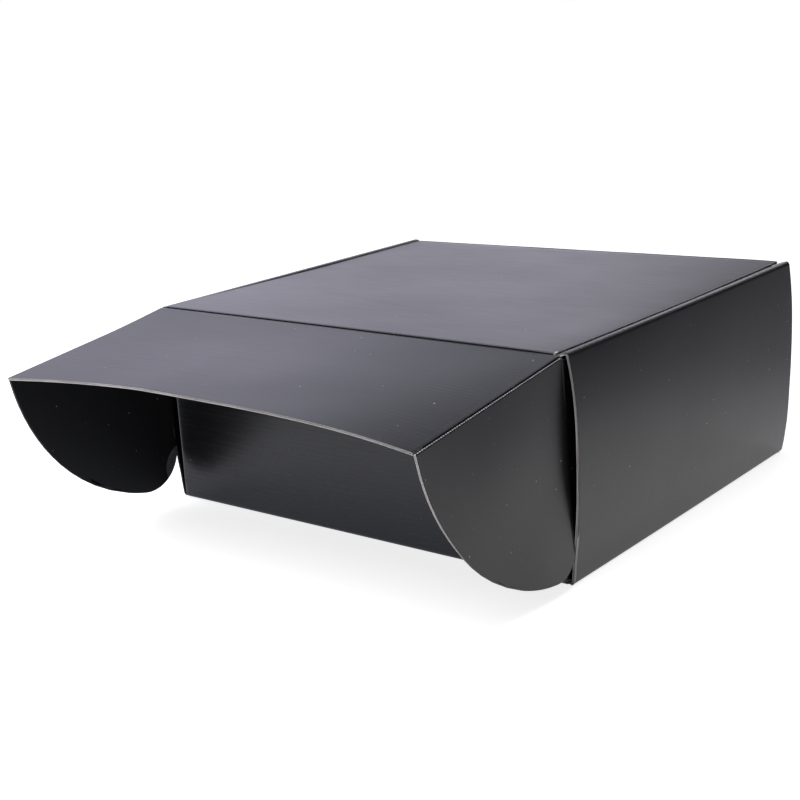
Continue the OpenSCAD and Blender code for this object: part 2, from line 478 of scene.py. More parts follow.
def buildBoard(name, sheet, facing, isFold=None, shape=None, place=None, paintedShadeAt=None, bend=1.0):
    # facing: a point and the way that the printed side looks there
    used = sorted({i for face in sheet.faces for i in face})
    bm = bmesh.new()
    flatLayer = bm.verts.layers.float_vector.new("flat")
    add = bm.verts.layers.float.new
    creaseLayer, shadeLayer, bendLayer = add("crease"), add("paintedEdgeShade"), add("bend")
    verts = {}
    for i in used:
        start = sheet.points[i]
        vert = bm.verts.new(shape(start) if shape else start)
        vert[flatLayer] = (sheet.flat[i][0], sheet.flat[i][1], float(isFold(start)) if isFold else 0.0)
        vert[creaseLayer] = sheet.crease[i]
        # amount of painted shade on raw edges
        vert[shadeLayer] = paintedShadeAt(start) if paintedShadeAt else 0.0
        vert[bendLayer] = bend(start) if callable(bend) else bend
        verts[i] = vert
    for face in sheet.faces:
        bm.faces.new([verts[i] for i in face])
    bmesh.ops.recalc_face_normals(bm, faces=bm.faces[:])
    spot, direction = Vector(facing[0]), Vector(facing[1])
    nearest = min(bm.faces, key=lambda f: (f.calc_center_median() - spot).length)
    if nearest.normal.dot(direction) < 0:
        bmesh.ops.reverse_faces(bm, faces=bm.faces[:])
    bm.normal_update()

    out = bmesh.new()
    flatUv = out.loops.layers.uv.new("blank")
    edgeUv = out.loops.layers.uv.new("edge")
    add = out.verts.layers.float.new
    outCrease, outRim, outShade, outBend = add("crease"), add("rim"), add("paintedEdgeShade"), add("bend")
    outOpen = out.faces.layers.float.new("open")
    loops = edgeLoops(bm)
    onEdge = {vert for loop in loops for vert in loop}
    outer = {}
    inner = {}
    profiles = {}

    def addVert(place, vert, rim, share=1.0):
        fresh = out.verts.new(place)
        fresh[outCrease] = vert[creaseLayer] * share
        fresh[outRim] = rim
        fresh[outShade] = vert[shadeLayer]
        fresh[outBend] = vert[bendLayer]
        return fresh

    for vert in bm.verts:
        if vert in onEdge:
            ways = [inwards(e) for e in vert.link_edges if len(e.link_faces) == 1]
            back = (ways[0] + ways[1]).normalized()
            back = back / max(0.45, back.dot(ways[0]))
            profile = (cutProfile, foldProfile, tightProfile)[round(vert[flatLayer].z)]
            line = []
            for k, (depth, height) in enumerate(profile):
                worn = 1.0 if k in (2, 3, 9, 10) and profile is cutProfile else 0.0
                share = 1.0 if profile is cutProfile else crackAndHighlightShare[k]
                line.append(addVert(vert.co + back * depth + vert.normal * height, vert, worn, share))
            profiles[vert] = line
            outer[vert] = line[0]
            inner[vert] = line[-1]
        else:
            outer[vert] = addVert(vert.co + vert.normal * half, vert, 0.0)
            inner[vert] = addVert(vert.co - vert.normal * half, vert, 0.0)

    def addFace(corners, sources, material, alongs, acrosses, opened):
        face = out.faces.new(corners)
        face.smooth = True
        face.material_index = material
        face[outOpen] = opened
        for loop, source, along, height in zip(face.loops, sources, alongs, acrosses):
            loop[flatUv].uv = (source[flatLayer].x * mm, source[flatLayer].y * mm)
            loop[edgeUv].uv = (along * mm, height)

    for face in bm.faces:
        ring = list(face.verts)
        empty = [0.0] * len(ring)
        addFace([outer[v] for v in ring], ring, 0, empty, empty, 0.0)
        addFace([inner[v] for v in reversed(ring)], ring[::-1], 1, empty, empty, 0.0)
    openRuns = []
    last = len(cutProfile) - 1
    for loop in loops:
        along = 0.0
        run = []
        for a, b in zip(loop, loop[1:] + loop[:1]):
            length = (b.co - a.co).length
            line = b[flatLayer] - a[flatLayer]
            flatLength = math.hypot(line.x, line.y)
            opened = abs(line.y) / flatLength if flatLength else 0.0
            folded = a[flatLayer].z > 0.5 and b[flatLayer].z > 0.5
            for k in range(last):
                # printed at both sides, raw between them
                material = 2 if 3 <= k < last - 3 else (0 if k < last / 2 else 1)
                if folded:
                    material = 0
                corners = [profiles[a][k], profiles[b][k], profiles[b][k + 1], profiles[a][k + 1]]
                heights = [cutProfile[n][1] / half for n in (k, k, k + 1, k + 1)]
                alongs = [along, along + length, along + length, along]
                addFace(corners, [a, b, b, a], material, alongs, heights, opened)
            if opened > 0.75 and not folded:
                if not run:
                    run.append(a)
                run.append(b)
            elif run:
                openRuns.append(run)
                run = []
            along += length
        if run:
            openRuns.append(run)
    runs = []
    for run in openRuns:
        if (run[0].co - run[-1].co).length < board["shortRun"]:
            continue
        points = []
        for vert in run:
            ways = [inwards(e) for e in vert.link_edges if len(e.link_faces) == 1]
            back = (ways[0] + ways[1]).normalized()
            points.append((vert.co + back * board["ribbonIn"], vert.normal.copy(), back))
        runs.append(points)
    bm.free()
    bmesh.ops.recalc_face_normals(out, faces=out.faces[:])
    for edge in out.edges:
        if len(edge.link_faces) == 2:
            a, b = edge.link_faces
            if a.material_index != b.material_index and 2 in (a.material_index, b.material_index):
                edge.smooth = False
    if place:
        for vert in out.verts:
            vert.co = place(vert.co)
        runs = [[(place(p), place(n, False), place(d, False)) for p, n, d in run] for run in runs]
    gap = board["clearance"]
    for vert in out.verts:
        # hairline overshoots of bent borders stay inside the box
        limits = zip(vert.co, *cadBox)
        vert.co = [min(max(c, low / mm + gap), high / mm - gap) for c, low, high in limits]
    bmesh.ops.scale(out, vec=(mm, mm, mm), verts=out.verts[:])
    mesh = bpy.data.meshes.new(name)
    out.to_mesh(mesh)
    out.free()
    for material in boardMaterials:
        mesh.materials.append(material)
    piece = addObject(name, mesh)
    print(" ", name, len(mesh.vertices), "points,", len(mesh.polygons), "faces,", len(runs), "open edges")
    return piece, runs


# corrugated layer seen in the edges that cross the flutes

flutes = {
    "Pitch": 3.3 * mm,
    "Height": 0.36 * mm,
    "Depth": 0.26 * mm,
    "Thick": 0.16 * mm,
    "Finish": flutePaper,
}
flutePaperSlot = boardMaterials.index(flutePaper)


def makeFluteTree():
    tree = bpy.data.node_groups.new("fluteRibbon", "GeometryNodeTree")
    face = tree.interface
    face.new_socket("Geometry", in_out="INPUT", socket_type="NodeSocketGeometry")
    for name, value in flutes.items():
        kind = "NodeSocketFloat" if isinstance(value, float) else "NodeSocketMaterial"
        face.new_socket(name, in_out="INPUT", socket_type=kind)
    face.new_socket("Geometry", in_out="OUTPUT", socket_type="NodeSocketGeometry")
    start = tree.nodes.new("NodeGroupInput")
    given = {socket.name: Wire(tree, socket) for socket in start.outputs if socket.name}

    def stored(name):
        settings = {"data_type": "FLOAT_VECTOR"}
        return addNode(tree, "GeometryNodeInputNamedAttribute", settings, {"Name": name}, "Attribute")

    def scaled(vector, amount):
        return vectorMath(tree, "SCALE", {"Vector": vector, "Scale": amount}, "Vector")

    curve = addNode(tree, "GeometryNodeMeshToCurve", None, [given["Geometry"]])
    values = {"Curve": curve, "Length": given["Pitch"] / 8}
    curve = addNode(tree, "GeometryNodeResampleCurve", {"mode": "LENGTH"}, values)
    along = addNode(tree, "GeometryNodeSplineParameter", None, (), "Length")
    wave = along.wave(given["Pitch"])
    values = {"Geometry": curve, "Offset": scaled(stored("rise"), wave * given["Height"])}
    curve = addNode(tree, "GeometryNodeSetPosition", None, values)
    line = addNode(tree, "GeometryNodeCurveToMesh", None, {"Curve": curve})
    values = {"Mesh": line, "Offset": stored("inward"), "Offset Scale": given["Depth"]}
    strip = addNode(tree, "GeometryNodeExtrudeMesh", {"mode": "EDGES"}, values)
    values = {"Mesh": strip, "Offset Scale": given["Thick"], "Individual": False}
    solid = addNode(tree, "GeometryNodeExtrudeMesh", {"mode": "FACES"}, values)
    under = addNode(tree, "GeometryNodeFlipFaces", None, [strip])
    both = tree.nodes.new("GeometryNodeJoinGeometry")
    for part in (under, solid):
        tree.links.new(part.socket, both.inputs[0])
    values = {"Geometry": Wire(tree, both.outputs[0]), "Distance": 0.001 * mm}
    closed = addNode(tree, "GeometryNodeMergeByDistance", None, values)
    plain = addNode(tree, "GeometryNodeRealizeInstances", None, {"Geometry": closed})
    done = addNode(tree, "GeometryNodeSetMaterial", None, {"Geometry": plain, "Material": given["Finish"]})
    addNode(tree, "NodeGroupOutput", None, [done])
    return tree


fluteTree = makeFluteTree()


def addFlutes(piece, runs):
    # waves of paper between the liners, joined into the piece
    points = []
    edges = []
    rise = []
    inward = []
    for run in runs:
        first = len(points)
        points += [place * mm for place, normal, back in run]
        rise += [c for place, normal, back in run for c in normal]
        inward += [c for place, normal, back in run for c in back]
        edges += [(k, k + 1) for k in range(first, len(points) - 1)]
    lines = bpy.data.meshes.new(piece.name + "Flutes")
    lines.from_pydata(points, edges, [])
    for name, values in (("rise", rise), ("inward", inward)):
        lines.attributes.new(name, "FLOAT_VECTOR", "POINT").data.foreach_set("vector", values)
    holder = addObject(piece.name + "Flutes", lines)
    modifier = holder.modifiers.new("fluteRibbon", "NODES")
    modifier.node_group = fluteTree
    for socket in fluteTree.interface.items_tree:
        if socket.name in flutes:
            modifier[socket.identifier] = flutes[socket.name]
    shaped = holder.evaluated_get(bpy.context.evaluated_depsgraph_get())
    ribbon = bpy.data.meshes.new_from_object(shaped)
    holder.modifiers.remove(modifier)
    bpy.data.objects.remove(holder)
    joined = bmesh.new()
    joined.from_mesh(piece.data)
    before = len(joined.faces)
    joined.from_mesh(ribbon)
    joined.faces.ensure_lookup_table()
    for face in joined.faces[before:]:
        face.material_index = flutePaperSlot
    joined.to_mesh(piece.data)
    joined.free()
    print("  ", len(ribbon.polygons), "faces of flutes in", piece.name)


# tray: base, rolled sides, front and rear walls with their dust flaps

tray = {
    "halfWidth": 150.0,
    "halfDepth": 127.0,
    "sideHigh": 126.0,
    "sideFrom": 147.0,  # only the outer side walls reach past this
    "rollFrom": 140.0,  # and the rolls past this
    "bow": (4.35, 3.1),  # front and rear
    "bowAt": 80.0,  # height of the fullest place
    "bowUp": 45.8,
    "bowDown": 66.3,
    "bowPower": 2.3,
    "leftLow": 1.1,  # the rolls lie a little lower than drawn
    "rightLow": (0.45, 0.1),  # front and rear
    "rightSag": 0.45,
    "rollSlope": 0.42,  # the right roll falls inwards
    "slopeFrom": 148.3,
    "rearOut": 1.5,  # its rear end leans out at the top
    "rearIn": 1.6,  # and its foot is rounder
    "rollCrease": 0.08,
    "footWear": 0.72,  # rubbed line along the bottom fold
    "paleEdgeHigh": 34.0,  # the right raw edge is paler towards the floor, up to this height
    "footIn": 1.6,  # the sides turn in at the foot
    "footHigh": 20.0,
    "frontWallHigh": 122.2,
    "rearWallHigh": 122.35,
    "innerX": 144.45,
    "innerFoot": 1.8,
    "tabFoot": 0.3,
    "tabs": (45.2, 83.2),
    "slots": (44.7, 83.7),
    "slotX": (143.2, 145.7),
    "cornerX": 144.6,
    "dustX": 146.05,
    "dustEnd": 102.0,  # from the front of the tray
    "dustFoot": 2.5,
    "dustCut": 14.0,
    "frontLean": 1.2,  # the front wall's foot stands forward
    "wallWarp": 0.3,
    "rearTopHigh": 1.4,  # at the right, where the lid's crease stands up
    "rearTopFrom": 108.0,
    "rearTopWide": 144.4,
    # painted shade on the front raw edges of the sides
    "leftEdgeShade": 1.25,
    "rightEdgeShade": 0.65,
    "edgeShadeFrom": 72.0,
    "edgeShadeHigh": 46.0,
    "flutesShow": (1.3, 3.0),  # on most panels and on the front wall
}


def sideSection(side):
    # (x, z, length so far, creased) from the base's edge to the inner wall's foot
    foldX = side["halfWidth"] - foldOut
    rollX = side["innerX"] + foldMid
    topZ = side["sideHigh"] - foldOut
    steps = board["foldSteps"]
    foot = arc((foldX, foldOut), foldMid, -90, 0, steps)
    wear = [side["footWear"] * math.sin(math.pi * k / steps) ** 3 for k in range(steps + 1)]
    parts = [(p, side["rollCrease"] + worn) for p, worn in zip(foot, wear)]
    parts += [((foldX + foldMid, z), 0.0) for z in between([3.0, 8.0, topZ - 5.8, topZ - 0.8], 7.5)]
    parts += [(p, side["rollCrease"]) for p in arc((foldX, topZ), foldMid, 0, 90, steps)]
    parts += [(p, side["rollCrease"]) for p in arc((rollX, topZ), foldMid, 90, 180, steps)]
    down = between([topZ - 0.8, topZ - 5.8, 7.0], 8.0) + [side["innerFoot"], side["tabFoot"]]
    parts += [((side["innerX"], z), 0.0) for z in down]
    section = []
    length = 0.0
    for k, (p, creased) in enumerate(parts):
        if k:
            before = parts[k - 1][0]
            length += math.hypot(p[0] - before[0], p[1] - before[1])
        section.append((p[0], p[1], length, creased))
    return section


def shapeTray(p):
    # bow of the sides, height of the rolls, lean of the front wall, slow waves of the panels
    q = p.copy()
    high = p.z / tray["sideHigh"]
    back = (p.y + tray["halfDepth"]) / (2 * tray["halfDepth"])
    onSide = abs(p.x) > tray["sideFrom"]
    if onSide:
        bow = mix(tray["bow"], back)
        reach = tray["bowUp"] if p.z > tray["bowAt"] else tray["bowDown"]
        bow *= max(0.0, 1 - (abs(p.z - tray["bowAt"]) / reach) ** tray["bowPower"])
        bow -= tray["footIn"] * max(0.0, 1 - p.z / tray["footHigh"]) ** 2
        q.x += math.copysign(1, p.x) * bow + wander(p) * clamp(bow / 2)
    if p.x < -tray["rollFrom"]:
        q.z -= tray["leftLow"] * high ** 3
    if p.x > tray["rollFrom"]:
        q.z -= (mix(tray["rightLow"], back) + tray["rightSag"] * hump(back)) * high ** 3
        inside = max(0.0, tray["slopeFrom"] - p.x)
        q.z -= tray["rollSlope"] * inside * max(0.0, high - 0.9) * 10
        outer = clamp((p.x - 144.5) / 3.5)  # 0 on the inner wall, 1 on the outer one
        q.x += tray["rearOut"] * outer * back ** 2 * max(0.0, (high - 0.36) / 0.64)
        if onSide:
            q.x -= tray["rearIn"] * back ** 2 * max(0.0, 1 - high / 0.24) ** 2
    if p.y < -120 and not onSide:
        q.y -= tray["frontLean"] * max(0, 1 - high / 0.75) ** 1.5
    wide, start = tray["rearTopWide"], tray["rearTopFrom"]
    if p.y > 124.9 and abs(p.x) < wide and p.z > start:
        rise = (p.z - start) / (tray["rearWallHigh"] - start) * min(1.0, (wide - p.x) / 2.5)
        q.z += tray["rearTopHigh"] * rise * (p.x + wide) / (2 * wide)
    if abs(p.y) > 125 and abs(p.x) < tray["rollFrom"]:
        q.y += math.copysign(1, -p.y) * abs(wander(p, tray["wallWarp"])) * min(1, 4 * high)
    return q


def makeTray():
    sheet = Sheet()
    section = sideSection(tray)
    corner = tray["cornerX"]
    foldX = tray["halfWidth"] - foldOut
    foldY = tray["halfDepth"] - foldOut
    stops = [foldY, tray["slots"][1], tray["tabs"][1], tray["tabs"][0], tray["slots"][0]]
    fixedY = [-tray["halfDepth"]] + [-y for y in stops] + stops[::-1] + [tray["halfDepth"]]
    linesY = between(fixedY, board["step"])
    slotIn, slotOut = tray["slotX"]
    fixedX = [-foldX, -slotOut, -corner, -slotIn, slotIn, corner, slotOut, foldX]
    linesX = between(fixedX, board["step"])
    innerY = [y for y in linesY if abs(y) <= foldY + 0.01]

    # base
    rows = [[((x, y, half), (x, y)) for x in linesX] for y in innerY]

    def solidBase(i, j):
        x = (linesX[j] + linesX[j + 1]) / 2
        y = (innerY[i] + innerY[i + 1]) / 2
        inSlot = slotIn < abs(x) < slotOut and tray["slots"][0] < abs(y) < tray["slots"][1]
        return not inSlot

    sheet.grid(rows, solidBase)

    # rolled sides
    innerStart = next(k for k, s in enumerate(section) if s[0] < tray["innerX"] + 0.01)
    for hand in (1, -1):
        rows = []
        for k, (x, z, length, creased) in enumerate(section):
            flatX = hand * (foldX + length)
            row = [((hand * x, y, z), (flatX, y), creased) for y in linesY]
            # the right raw edge turns paler towards the floor
            if hand == 1 and z < tray["paleEdgeHigh"] and k < innerStart:
                row[0] = (*row[0][:2], min(3.0, (tray["paleEdgeHigh"] - z) / 4))
            rows.append(row)

        def solidSide(i, j):
            y = abs(linesY[j] + linesY[j + 1]) / 2
            if i == len(section) - 2:
                return tray["tabs"][0] < y < tray["tabs"][1]
            return i < innerStart or y < foldY

        sheet.grid(rows, solidSide)

    # front and rear walls, each with two dust flaps round its corners
    wallX = [x for x in linesX if abs(x) <= corner + 0.01]
    for front, high in ((-1, tray["frontWallHigh"]), (1, tray["rearWallHigh"])):
        fold = arc((-foldY, foldOut), foldMid, -90, -180, board["foldSteps"])
        foot, cut = tray["dustFoot"], tray["dustCut"]
        levels = [foot] + between([3.0, foot + cut, high - cut, high], board["step"])
        profile = [(-y, z) for y, z in fold] + [(foldY + foldMid, z) for z in levels]
        rows = []
        length = 0.0
        flatY = {}
        for k, (y, z) in enumerate(profile):
            if k:
                length += math.hypot(y - profile[k - 1][0], z - profile[k - 1][1])
            flatY[round(z, 3)] = front * (foldY + length)
            rows.append([((x, front * y, z), (x, front * (foldY + length))) for x in wallX])
        sheet.grid(rows)
        for hand in (1, -1):
            turn = arc((corner, -foldY), foldMid, -90, 0, board["foldSteps"])
            start = foldY - 0.8
            reach = between([start, foldY - 20, tray["halfDepth"] - tray["dustEnd"]], 8.0)
            rows = []
            for z in levels:
                row = []
                length = 0.0
                before = turn[0]
                end = reach[-1] + max(0, cut - (z - foot), cut - (high - z))
                line = list(turn)
                for y in reach:
                    s = (start - y) / (start - reach[-1])
                    line.append((tray["dustX"], -(start - s * (start - end))))
                for x, y in line:
                    length += math.hypot(x - before[0], y - before[1])
                    before = (x, y)
                    flat = (hand * (corner + length), flatY[round(z, 3)])
                    row.append(((hand * x, -front * y, z), flat))
                rows.append(row)
            sheet.grid(rows)

    def paintedShadeAt(p):
        # painted shade: the left raw edge is darkened all over, the right one only towards the top
        atFront = p.y < 1 - tray["halfDepth"]
        if atFront and p.x < -tray["rollFrom"] and p.z > 1:
            return tray["leftEdgeShade"]
        if atFront and p.x > tray["sideFrom"]:
            return tray["rightEdgeShade"] * clamp((p.z - tray["edgeShadeFrom"]) / tray["edgeShadeHigh"])
        return 0.0

    def bend(p):
        onFront = p.y < -124 and abs(p.x) < corner + 0.1
        return tray["flutesShow"][1 if onFront else 0]

    facing = ((0, 0, half), (0, 0, -1))
    return buildBoard("trayBoard", sheet, facing, shape=shapeTray, paintedShadeAt=paintedShadeAt, bend=bend)


# lid

lid = {
    "halfWidth": 143.4,
    "middle": 123.25,
    "frontY": -128.5,
    "rearY": 127.0,
    "cornerCut": 0.6,
    "frontDip": 0.15,
    "dipWide": 3.2,
    "frontLift": (2.0, 1.15),  # left and right, it stands over the flap at the crease
    "frontFade": 150.0,
    "rearLift": (0.2, 1.75),
    "liftLong": 255.0,
    "wander": 0.14,
    "calmFor": 20.0,  # mm from the edges
    "rearScore": 0.16,
    "sideDip": 0.30,  # the right edge hangs a little
    "rearWide": 0.5,  # and its rear end lies close to the roll
    "torn": (1.5, 2.9),  # bit at the right end of the front crease, wide and long
    "flutesShow": 0.65,
}


def makeLid():
    sheet = Sheet()
    wide = lid["halfWidth"]
    cut = lid["cornerCut"]
    tornWide, tornLong = lid["torn"]
    flatFrom = 2 * tray["halfDepth"] + tray["sideHigh"]
    front = [lid["frontY"] + d for d in (0, 1.3, 2.0, 2.8, 4.0)]
    rear = [lid["rearY"] - d for d in (8.0, 6.5, 3.4, 2.9, 2.4, 1.5, cut, 0)]
    rows = []
    for y in between(front + rear, board["step"]):
        gone = max(0.0, y - (lid["rearY"] - cut))
        linesX = spread(-wide + 6, wide - 6, board["step"])
        linesX = [-wide + gone] + linesX + [wide - tornWide, wide - gone]
        row = [((x, y, lid["middle"]), (x, flatFrom - y)) for x in linesX]
        if y < lid["frontY"] + tornLong:
            row[-1] = (*row[-1], 3.0)
        rows.append(row)
    sheet.grid(rows)

    def onCrease(p):
        atFront = abs(p.y - lid["frontY"]) < 0.1
        atRear = abs(p.y - lid["rearY"]) < 0.1 and abs(p.x) < wide - cut + 0.1
        return atFront or atRear

    def shape(p):
        front = p.y - lid["frontY"]
        rear = lid["rearY"] - p.y
        z = clamp(min(wide - abs(p.x), front, rear) / lid["calmFor"]) * wander(p, lid["wander"])
        right = (p.x + wide) / (2 * wide)
        along = (front / lid["liftLong"]) ** 2
        z += mix(lid["rearLift"], right) * along
        z += mix(lid["frontLift"], right ** 2) * max(0.0, 1 - front / lid["frontFade"]) ** 1.3
        z -= lid["frontDip"] * (1 - right) * max(0.0, 1 - front / lid["dipWide"]) ** 2
        z -= lid["rearScore"] * max(0.0, 1 - abs(rear - 2.9) / 0.5)
        z -= lid["sideDip"] * max(0.0, 1 - (wide - p.x) / 16) ** 2
        return p + Vector((lid["rearWide"] * along * max(0.0, 2 * right - 1), 0, z))

    facing = ((0, 0, lid["middle"]), (0, 0, 1))
    return buildBoard("lidBoard", sheet, facing, onCrease, shape, bend=lid["flutesShow"])


# raised front flap, arched, with its two ears

flap = {
    "halfWidth": 146.75,
    "long": 120.0,
    "creaseY": -129.4,
    "creaseZ": 123.25,
    "droop": 8.0,
    "archHigh": 8.8,
    "archX": -25.0,
    "archLeft": 1.5,
    "archRight": 3.4,
    "twist": 1.5,  # the front left corner stands this much higher
    "rearLift": (1.35, 0.3),  # left and right
    "rearDip": 0.40,
    "dipWide": 3.0,
    "rearFade": 45.0,
    "rightLift": 0.6,
    "wander": 0.35,
    "calmFor": 25.0,
    "ridge": 0.03,  # score line beside the crease of an ear
    "ridgeAt": (1.0, 1.95, 2.7),  # mm from the crease: start, top, end
    "paintedEdgeShade": 0.30,  # painted shade of its raw edge, growing towards the right
    "flutesShow": 2.3,
}


def arch(x):
    right = x > flap["archX"]
    reach = (flap["halfWidth"] if right else -flap["halfWidth"]) - flap["archX"]
    s = min(1.0, (x - flap["archX"]) / reach)
    return flap["archHigh"] * (1 - s ** (flap["archRight"] if right else flap["archLeft"]))


def onRaisedFlap(p, moved=True):
    # from the flap's own axes (x, along the flap, above it) to the box
    droop = math.radians(flap["droop"])
    y = -p.y * math.cos(droop) - p.z * math.sin(droop)
    z = -p.y * math.sin(droop) + p.z * math.cos(droop)
    if moved:
        return Vector((p.x, y + flap["creaseY"], z + flap["creaseZ"]))
    return Vector((p.x, y, z))


def flapRise(x, u):
    # height of the arched, slightly twisted flap over its own plane
    along = max(0.0, u) / flap["long"]
    left = max(0.0, flap["halfWidth"] - x) / (2 * flap["halfWidth"])
    right = max(0.0, x / flap["halfWidth"])
    return (arch(x) + flap["twist"] * left + flap["rightLift"] * right ** 2) * along


def makeFlap():
    sheet = Sheet()
    wide = flap["halfWidth"]
    sides = (0, 0.9, 1.5, 1.85, 2.05, 2.6, 2.8, 4.5, 6.5)
    linesX = between([-wide + d for d in sides] + [wide - d for d in sides[::-1]], 7.0)
    linesU = between([d - half for d in (0, 1.4, 2.1, 2.8, 4.0)] + [flap["long"]], 7.0)
    rows = [[((x, u, 0.0), (x, u)) for x in linesX] for u in linesU]
    sheet.grid(rows)

    def onCrease(p):
        if abs(p.y + half) < 0.01:
            return 1
        return 2 if abs(abs(p.x) - wide) < 0.01 and p.y < flap["long"] - 0.1 else 0

    def shape(p):
        calm = clamp(min(wide - abs(p.x), p.y, flap["long"] + 8 - p.y) / flap["calmFor"])
        z = flapRise(p.x, p.y) + calm * wander(p, flap["wander"])
        right = (p.x + wide) / (2 * wide)
        fade = max(0.0, 1 - max(0.0, p.y) / flap["rearFade"]) ** 1.5
        z += mix(flap["rearLift"], right ** 2) * fade
        z -= flap["rearDip"] * max(0.0, 1 - (p.y + half) / flap["dipWide"]) ** 2
        side = wide - abs(p.x)
        start, top, end = flap["ridgeAt"]
        if start < side < end:
            z += flap["ridge"] * min((side - start) / (top - start), (end - side) / (end - top))
        return Vector((p.x, p.y, z))

    def paintedShadeAt(p):
        # painted shade, darker towards the right
        return flap["paintedEdgeShade"] * clamp((p.x + 60) / 120)

    facing = ((0, 60, 5), (0, 0, 1))
    shows = flap["flutesShow"]
    return buildBoard("flapBoard", sheet, facing, onCrease, shape, onRaisedFlap, paintedShadeAt, shows)


earRight = {
    "name": "earRightBoard",
    "x": 147.65,
    "top": -0.25,
    "back": 0.8,
    "slant": 0.087,
    "radius": 117.0,
    "shrink": 0.0,
    "nose": 3.2,  # the front reaches this much further at the crease
    "cornerRadius": 14.3,
    "splay": 1.8,  # its rear corner stands out and rests on the raw edge of the side
    "bow": 2.5,  # and its middle bows out a little
    "darkFrom": 26.0,  # degrees along the cut edge, past which it has painted shade
}
earLeft = {
    "name": "earLeftBoard",
    "x": -147.65,
    "top": -0.25,
    "back": 0.7,
    "slant": 0.14,
    "radius": 118.4,
    "shrink": 3.6,
    "nose": 0.0,
    "cornerRadius": 24.0,
    "splay": 0.0,
    "bow": 0.0,
    "darkFrom": -20.0,
}


earGrid = {"rows": 13, "columns": 30, "flatX": 148.0}
earBend = {
    "wander": 0.25,
    "calmFor": 30.0,
    "splayDown": 55.0,  # the corner stands out below this
    "splayAlong": 75.0,  # and behind this
    "splayOver": 45.0,
    "splayWay": (1.33, 0.5),  # along and up for each mm out
    "bowOver": 75.0,
}


def earOutline(ear):
    # front, bottom and rear of an ear as lists of (along the flap, down)
    corner = ear["cornerRadius"]

    def radius(a):
        nose = ear["nose"] * max(0.0, 1 - math.degrees(a) / 27)
        return ear["radius"] + nose - ear["shrink"] * math.sin(a) ** 4

    def onCurve(a):
        return radius(a) * math.cos(a), radius(a) * math.sin(a)

    def onCorner(a):
        return centre[0] + corner * math.cos(a), centre[1] + corner * math.sin(a)

    def rearEdge(v):
        return ear["back"] + ear["slant"] * v

    # the rounded corner lies against both the curve and the rear edge
    turn = 0.0
    lean = math.sqrt(1 + ear["slant"] ** 2)
    while True:
        reach = radius(turn) - corner
        centre = (reach * math.cos(turn), reach * math.sin(turn))
        if centre[0] - corner * lean <= rearEdge(centre[1]):
            break
        turn += 0.002
    split = math.radians(60)
    top = ear["top"]
    front = [(radius(0), top)] + [onCurve(a) for a in spread(0, split, 0.01)]
    bottom = [onCurve(a) for a in spread(split, turn, 0.01)]
    last = math.pi - math.atan(ear["slant"])
    bottom += [onCorner(a) for a in spread(turn, last, 0.05)]
    rear = [(rearEdge(top), top), bottom[-1]]
    return front, bottom, rear


def atDown(line, v):
    # point of a line of (u, v) at a given v
    for a, b in zip(line, line[1:]):
        if a[1] <= v <= b[1]:
            s = (v - a[1]) / (b[1] - a[1]) if b[1] > a[1] else 0.0
            return (mix((a[0], b[0]), s), v)
    return line[-1]


def atShare(line, share):
    # point of a line at a share of its length
    steps = [math.dist(a, b) for a, b in zip(line, line[1:])]
    left = share * sum(steps)
    for a, b, step in zip(line, line[1:], steps):
        if left <= step:
            s = left / step if step else 0.0
            return tuple(mix(ends, s) for ends in zip(a, b))
        left -= step
    return line[-1]


def makeEar(ear):
    sheet = Sheet()
    front, bottom, rear = earOutline(ear)
    hand = 1 if ear["x"] > 0 else -1
    levels = [ear["top"], 0.7, 1.6, 3.2]
    shares = [k / earGrid["rows"] for k in range(1, earGrid["rows"] + 1)]
    columns = earGrid["columns"]

    def downwards(line):
        # points of a side, close together near the crease
        ends = (levels[-1], line[-1][1])
        return [atDown(line, v) for v in levels + [mix(ends, f) for f in shares]]

    rows = []
    for i, (f, r) in enumerate(zip(downwards(front), downwards(rear))):
        t = (f[1] - ear["top"]) / (front[-1][1] - ear["top"])
        row = []
        for j in range(columns + 1):
            q = j / columns
            top = (mix((front[0][0], rear[0][0]), q), ear["top"])
            low = atShare(bottom, q)
            spot = []
            for k in (0, 1):
                flatPart = (1 - q) * ((1 - t) * front[0][k] + t * bottom[0][k])
                flatPart += q * ((1 - t) * rear[0][k] + t * bottom[-1][k])
                spot.append((1 - t) * top[k] + t * low[k] + (1 - q) * f[k] + q * r[k] - flatPart)
            u, v = spot
            row.append(((ear["x"], u, v), (hand * (earGrid["flatX"] + v), u), 1.0 if i == 0 else 0.0))
        rows.append(row)
    sheet.grid(rows)

    def onCrease(p):
        return abs(p.z - ear["top"]) < 0.01

    def paintedShadeAt(p):
        # painted shade on the cut edge past darkFrom degrees
        turn = math.degrees(math.atan2(p.z, p.y))
        return min(0.95, max(0.0, (turn - ear["darkFrom"]) / 14))

    def shape(p):
        # z is turned over, because the ear hangs below the flap
        calm = clamp(p.z / earBend["calmFor"])
        lift = flapRise(hand * flap["halfWidth"], p.y)
        out = ear["splay"] * smooth((p.z - earBend["splayDown"]) / earBend["splayOver"])
        out *= smooth((earBend["splayAlong"] - p.y) / earBend["splayOver"])
        bulge = abs(wander(p, earBend["wander"])) * calm * hump(p.y / ear["radius"])
        u = min(0.99, max(0.0, p.y / ear["radius"]))
        deep = ear["radius"] * math.sqrt(1 - u * u)
        bow = ear["bow"] * hump(p.z / deep) * (1 - u * u) * smooth(p.y / earBend["bowOver"])
        aside = (bulge + bow + out) * hand
        along, up = earBend["splayWay"]
        return Vector((p.x + aside, p.y + out * along, lift - p.z + out * up))

    facing = ((ear["x"], 60, -50), (hand, 0, 0))
    return buildBoard(ear["name"], sheet, facing, onCrease, shape, onRaisedFlap, paintedShadeAt)


# put together

